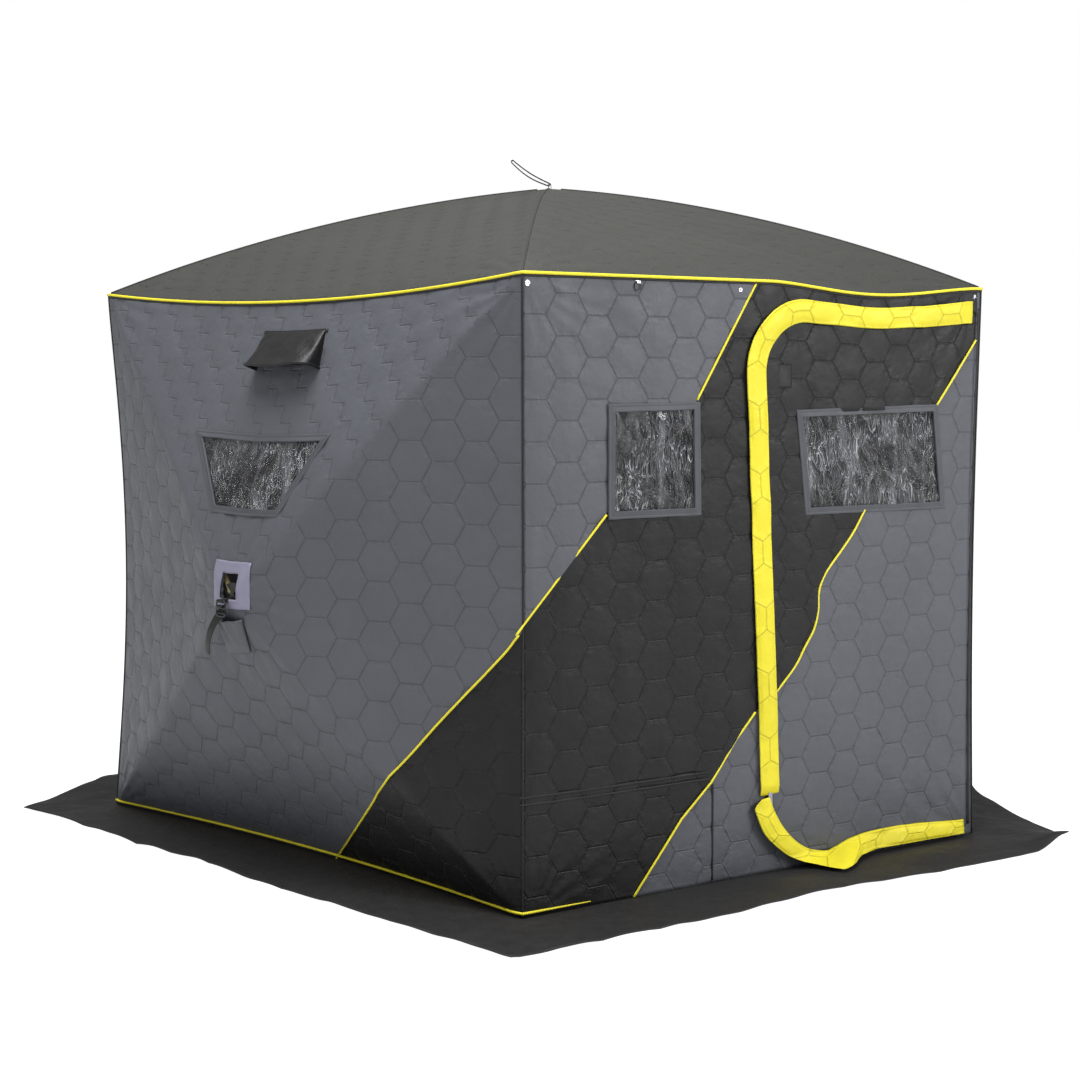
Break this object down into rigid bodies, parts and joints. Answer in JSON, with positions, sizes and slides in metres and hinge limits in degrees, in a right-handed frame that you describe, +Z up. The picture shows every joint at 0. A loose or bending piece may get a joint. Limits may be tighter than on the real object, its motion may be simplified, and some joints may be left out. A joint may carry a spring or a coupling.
{
  "type": "pop-up ice fishing shelter",
  "caption": "Insulated five-sided pop-up hub shelter with a domed roof, push-out walls, a zipped swing door, clear windows and a snow skirt.",
  "frame": {"origin": "middle of the snow skirt's footprint, on the ice", "axes": "+Z up, -Y out through the door wall, +X to the right of someone facing the door"},
  "size_m": [3.5758, 3.4191, 2.2586],
  "materials": {
    "skirt_fabric": "coated polyester, black",
    "wall_fabric": "quilted polyester, slate grey",
    "door_wall_fabric": "quilted polyester, black with grey panels",
    "roof_fabric": "quilted polyester, charcoal",
    "clear_vinyl": "clear flexible vinyl",
    "binding": "grey binding tape",
    "yellow_fabric": "bright yellow coated fabric",
    "zipper": "black zipper tape",
    "slider_metal": "black painted zinc",
    "hood_fabric": "black stiffened fabric",
    "vent_mesh": "black insect mesh",
    "socket_plastic": "black moulded plastic",
    "hub_plastic": "black glass-filled plastic",
    "webbing": "black webbing",
    "fibreglass": "solid fibreglass rod",
    "rivet_metal": "dark plated steel",
    "ring_steel": "black coated steel"
  },
  "bodies": {
    "shelter": {"snow_skirt": "skirt_fabric", "left_wall": "wall_fabric", "back_left_wall": "wall_fabric", "back_right_wall": "wall_fabric", "right_wall": "wall_fabric", "door_wall": "door_wall_fabric", "roof_canopy": "roof_fabric", "wall_zipper_tape": "zipper", "wall_windows": "clear_vinyl", "wall_window_trims": "binding", "vent_hood": "hood_fabric", "vent_screen": "vent_mesh", "top_corner_sockets": "socket_plastic", "bottom_corner_sockets": "socket_plastic", "eave_rivets": "rivet_metal"},
    "left_hub": {"left_hub": "hub_plastic", "left_strap_anchor": "webbing"},
    "left_pole_1": {"left_pole_1": "fibreglass"},
    "left_pole_2": {"left_pole_2": "fibreglass"},
    "left_pole_3": {"left_pole_3": "fibreglass"},
    "left_pole_4": {"left_pole_4": "fibreglass"},
    "left_pull_strap": {"left_pull_strap": "webbing"},
    "back_left_hub": {"back_left_hub": "hub_plastic", "back_left_strap_anchor": "webbing"},
    "back_left_pole_1": {"back_left_pole_1": "fibreglass"},
    "back_left_pole_2": {"back_left_pole_2": "fibreglass"},
    "back_left_pole_3": {"back_left_pole_3": "fibreglass"},
    "back_left_pole_4": {"back_left_pole_4": "fibreglass"},
    "back_left_pull_strap": {"back_left_pull_strap": "webbing"},
    "back_right_hub": {"back_right_hub": "hub_plastic", "back_right_strap_anchor": "webbing"},
    "back_right_pole_1": {"back_right_pole_1": "fibreglass"},
    "back_right_pole_2": {"back_right_pole_2": "fibreglass"},
    "back_right_pole_3": {"back_right_pole_3": "fibreglass"},
    "back_right_pole_4": {"back_right_pole_4": "fibreglass"},
    "back_right_pull_strap": {"back_right_pull_strap": "webbing"},
    "right_hub": {"right_hub": "hub_plastic", "right_strap_anchor": "webbing"},
    "right_pole_1": {"right_pole_1": "fibreglass"},
    "right_pole_2": {"right_pole_2": "fibreglass"},
    "right_pole_3": {"right_pole_3": "fibreglass"},
    "right_pole_4": {"right_pole_4": "fibreglass"},
    "right_pull_strap": {"right_pull_strap": "webbing"},
    "roof_hub": {"roof_hub": "hub_plastic", "roof_strap_anchor": "webbing"},
    "roof_pole_1": {"roof_pole_1": "fibreglass"},
    "roof_pole_2": {"roof_pole_2": "fibreglass"},
    "roof_pole_3": {"roof_pole_3": "fibreglass"},
    "roof_pole_4": {"roof_pole_4": "fibreglass"},
    "roof_pole_5": {"roof_pole_5": "fibreglass"},
    "roof_pull_strap": {"roof_pull_strap": "webbing"},
    "door": {"door_panel": "door_wall_fabric", "door_window": "clear_vinyl", "door_window_trim": "binding", "upper_storm_flap": "yellow_fabric", "lower_storm_flap": "yellow_fabric", "door_zipper_tape": "zipper"},
    "upper_zipper_slider": {"upper_zipper_slider": "slider_metal"},
    "lower_zipper_slider": {"lower_zipper_slider": "slider_metal"},
    "eave_d_ring": {"eave_d_ring": "ring_steel"}
  },
  "joints": [
    {"name": "left_hub_push", "type": "slide", "parent": "shelter", "child": "left_hub", "axis": [0.9364, 0.351, 0], "range_m": [0, 0.48], "deforming": ["left_wall"]},
    {"name": "left_pole_1_pivot", "type": "hinge", "parent": "left_hub", "child": "left_pole_1", "pos_m": [-1.37454, -0.64441, 0.85362], "axis": [-0.2481, 0.6619, -0.7074], "range_deg": [-22.58, 0]},
    {"name": "left_pole_2_pivot", "type": "hinge", "parent": "left_hub", "child": "left_pole_2", "pos_m": [-1.35865, -0.6868, 0.85362], "axis": [-0.2481, 0.6619, 0.7074], "range_deg": [-22.58, 0]},
    {"name": "left_pole_3_pivot", "type": "hinge", "parent": "left_hub", "child": "left_pole_3", "pos_m": [-1.35813, -0.6882, 0.80998], "axis": [0.2305, -0.615, 0.7541], "range_deg": [-23.92, 0]},
    {"name": "left_pole_4_pivot", "type": "hinge", "parent": "left_hub", "child": "left_pole_4", "pos_m": [-1.37507, -0.64301, 0.80998], "axis": [0.2305, -0.615, -0.7541], "range_deg": [-23.92, 0]},
    {"name": "left_pull_strap_swing", "type": "hinge", "parent": "left_hub", "child": "left_pull_strap", "pos_m": [-1.42091, -0.68596, 0.831], "axis": [0.351, -0.9364, 0], "range_deg": [-80, 0]},
    {"name": "back_left_hub_push", "type": "slide", "parent": "shelter", "child": "back_left_hub", "axis": [0.5997, -0.8002, 0], "range_m": [0, 0.48], "deforming": ["back_left_wall"]},
    {"name": "back_left_pole_1_pivot", "type": "hinge", "parent": "back_left_hub", "child": "back_left_pole_1", "pos_m": [-0.85716, 1.02816, 0.85362], "axis": [0.5656, 0.4239, -0.7074], "range_deg": [-22.58, 0]},
    {"name": "back_left_pole_2_pivot", "type": "hinge", "parent": "back_left_hub", "child": "back_left_pole_2", "pos_m": [-0.89339, 1.00101, 0.85362], "axis": [0.5656, 0.4239, 0.7074], "range_deg": [-22.58, 0]},
    {"name": "back_left_pole_3_pivot", "type": "hinge", "parent": "back_left_hub", "child": "back_left_pole_3", "pos_m": [-0.89458, 1.00011, 0.80998], "axis": [-0.5255, -0.3939, 0.7541], "range_deg": [-23.92, 0]},
    {"name": "back_left_pole_4_pivot", "type": "hinge", "parent": "back_left_hub", "child": "back_left_pole_4", "pos_m": [-0.85596, 1.02906, 0.80998], "axis": [-0.5255, -0.3939, -0.7541], "range_deg": [-23.92, 0]},
    {"name": "back_left_pull_strap_swing", "type": "hinge", "parent": "back_left_hub", "child": "back_left_pull_strap", "pos_m": [-0.91006, 1.06099, 0.831], "axis": [-0.8002, -0.5997, 0], "range_deg": [-80, 0]},
    {"name": "back_right_hub_push", "type": "slide", "parent": "shelter", "child": "back_right_hub", "axis": [-0.5997, -0.8002, 0], "range_m": [0, 0.48], "deforming": ["back_right_wall"]},
    {"name": "back_right_pole_1_pivot", "type": "hinge", "parent": "back_right_hub", "child": "back_right_pole_1", "pos_m": [0.89339, 1.00101, 0.85362], "axis": [0.5656, -0.4239, -0.7074], "range_deg": [-22.58, 0]},
    {"name": "back_right_pole_2_pivot", "type": "hinge", "parent": "back_right_hub", "child": "back_right_pole_2", "pos_m": [0.85716, 1.02816, 0.85362], "axis": [0.5656, -0.4239, 0.7074], "range_deg": [-22.58, 0]},
    {"name": "back_right_pole_3_pivot", "type": "hinge", "parent": "back_right_hub", "child": "back_right_pole_3", "pos_m": [0.85596, 1.02906, 0.80998], "axis": [-0.5255, 0.3939, 0.7541], "range_deg": [-23.92, 0]},
    {"name": "back_right_pole_4_pivot", "type": "hinge", "parent": "back_right_hub", "child": "back_right_pole_4", "pos_m": [0.89458, 1.00011, 0.80998], "axis": [-0.5255, 0.3939, -0.7541], "range_deg": [-23.92, 0]},
    {"name": "back_right_pull_strap_swing", "type": "hinge", "parent": "back_right_hub", "child": "back_right_pull_strap", "pos_m": [0.91006, 1.06099, 0.831], "axis": [-0.8002, 0.5997, 0], "range_deg": [-80, 0]},
    {"name": "right_hub_push", "type": "slide", "parent": "shelter", "child": "right_hub", "axis": [-0.9364, 0.351, 0], "range_m": [0, 0.48], "deforming": ["right_wall"]},
    {"name": "right_pole_1_pivot", "type": "hinge", "parent": "right_hub", "child": "right_pole_1", "pos_m": [1.35865, -0.6868, 0.85362], "axis": [-0.2481, -0.6619, -0.7074], "range_deg": [-22.58, 0]},
    {"name": "right_pole_2_pivot", "type": "hinge", "parent": "right_hub", "child": "right_pole_2", "pos_m": [1.37454, -0.64441, 0.85362], "axis": [-0.2481, -0.6619, 0.7074], "range_deg": [-22.58, 0]},
    {"name": "right_pole_3_pivot", "type": "hinge", "parent": "right_hub", "child": "right_pole_3", "pos_m": [1.37507, -0.64301, 0.80998], "axis": [0.2305, 0.615, 0.7541], "range_deg": [-23.92, 0]},
    {"name": "right_pole_4_pivot", "type": "hinge", "parent": "right_hub", "child": "right_pole_4", "pos_m": [1.35813, -0.6882, 0.80998], "axis": [0.2305, 0.615, -0.7541], "range_deg": [-23.92, 0]},
    {"name": "right_pull_strap_swing", "type": "hinge", "parent": "right_hub", "child": "right_pull_strap", "pos_m": [1.42091, -0.68596, 0.831], "axis": [0.351, 0.9364, 0], "range_deg": [-80, 0]},
    {"name": "roof_hub_drop", "type": "slide", "parent": "shelter", "child": "roof_hub", "axis": [0, 0, -1], "range_m": [0, 0.718], "deforming": ["roof_canopy"]},
    {"name": "roof_pole_1_pivot", "type": "hinge", "parent": "roof_hub", "child": "roof_pole_1", "pos_m": [-0.01724, -0.18025, 2.129], "axis": [0.8425, -0.5388, 0], "range_deg": [-28.64, 0]},
    {"name": "roof_pole_2_pivot", "type": "hinge", "parent": "roof_hub", "child": "roof_pole_2", "pos_m": [-0.03071, -0.14431, 2.129], "axis": [-0.2807, -0.9598, 0], "range_deg": [-28.64, 0]},
    {"name": "roof_pole_3_pivot", "type": "hinge", "parent": "roof_hub", "child": "roof_pole_3", "pos_m": [0, -0.1213, 2.129], "axis": [-1, 0, 0], "range_deg": [-28.64, 0]},
    {"name": "roof_pole_4_pivot", "type": "hinge", "parent": "roof_hub", "child": "roof_pole_4", "pos_m": [0.03071, -0.14431, 2.129], "axis": [-0.2807, 0.9598, 0], "range_deg": [-28.64, 0]},
    {"name": "roof_pole_5_pivot", "type": "hinge", "parent": "roof_hub", "child": "roof_pole_5", "pos_m": [0.01724, -0.18025, 2.129], "axis": [0.8425, 0.5388, 0], "range_deg": [-28.64, 0]},
    {"name": "roof_pull_strap_swing", "type": "hinge", "parent": "roof_hub", "child": "roof_pull_strap", "pos_m": [0, -0.15329, 2.171], "axis": [-0.5, -0.866, 0], "range_deg": [-100, 36]},
    {"name": "door_swing", "type": "hinge", "parent": "shelter", "child": "door", "pos_m": [0.813, -1.46162, 0], "axis": [0, 0.0086, 1], "range_deg": [0, 120]},
    {"name": "upper_slider_run", "type": "slide", "parent": "shelter", "child": "upper_zipper_slider", "axis": [-0.0512, 0.0086, 0.9987], "range_m": [0, 1.15]},
    {"name": "lower_slider_run", "type": "slide", "parent": "shelter", "child": "lower_zipper_slider", "axis": [-0.0512, 0.0086, 0.9987], "range_m": [-0.02, 0]},
    {"name": "eave_ring_swing", "type": "hinge", "parent": "shelter", "child": "eave_d_ring", "pos_m": [-0.465, -1.45152, 1.74598], "axis": [1, 0, 0], "range_deg": [-60, 0]}
  ],
  "couplings": [
    {"joint": "left_pole_1_pivot", "follows": "left_hub_push", "rad_per_m": -0.81919},
    {"joint": "left_pole_2_pivot", "follows": "left_hub_push", "rad_per_m": -0.81919},
    {"joint": "left_pole_3_pivot", "follows": "left_hub_push", "rad_per_m": -0.86798},
    {"joint": "left_pole_4_pivot", "follows": "left_hub_push", "rad_per_m": -0.86798},
    {"joint": "back_left_pole_1_pivot", "follows": "back_left_hub_push", "rad_per_m": -0.81919},
    {"joint": "back_left_pole_2_pivot", "follows": "back_left_hub_push", "rad_per_m": -0.81919},
    {"joint": "back_left_pole_3_pivot", "follows": "back_left_hub_push", "rad_per_m": -0.86798},
    {"joint": "back_left_pole_4_pivot", "follows": "back_left_hub_push", "rad_per_m": -0.86798},
    {"joint": "back_right_pole_1_pivot", "follows": "back_right_hub_push", "rad_per_m": -0.81919},
    {"joint": "back_right_pole_2_pivot", "follows": "back_right_hub_push", "rad_per_m": -0.81919},
    {"joint": "back_right_pole_3_pivot", "follows": "back_right_hub_push", "rad_per_m": -0.86798},
    {"joint": "back_right_pole_4_pivot", "follows": "back_right_hub_push", "rad_per_m": -0.86798},
    {"joint": "right_pole_1_pivot", "follows": "right_hub_push", "rad_per_m": -0.81919},
    {"joint": "right_pole_2_pivot", "follows": "right_hub_push", "rad_per_m": -0.81919},
    {"joint": "right_pole_3_pivot", "follows": "right_hub_push", "rad_per_m": -0.86798},
    {"joint": "right_pole_4_pivot", "follows": "right_hub_push", "rad_per_m": -0.86798},
    {"joint": "roof_pole_1_pivot", "follows": "roof_hub_drop", "rad_per_m": -0.69505},
    {"joint": "roof_pole_2_pivot", "follows": "roof_hub_drop", "rad_per_m": -0.69505},
    {"joint": "roof_pole_3_pivot", "follows": "roof_hub_drop", "rad_per_m": -0.69505},
    {"joint": "roof_pole_4_pivot", "follows": "roof_hub_drop", "rad_per_m": -0.69505},
    {"joint": "roof_pole_5_pivot", "follows": "roof_hub_drop", "rad_per_m": -0.69505}
  ]
}
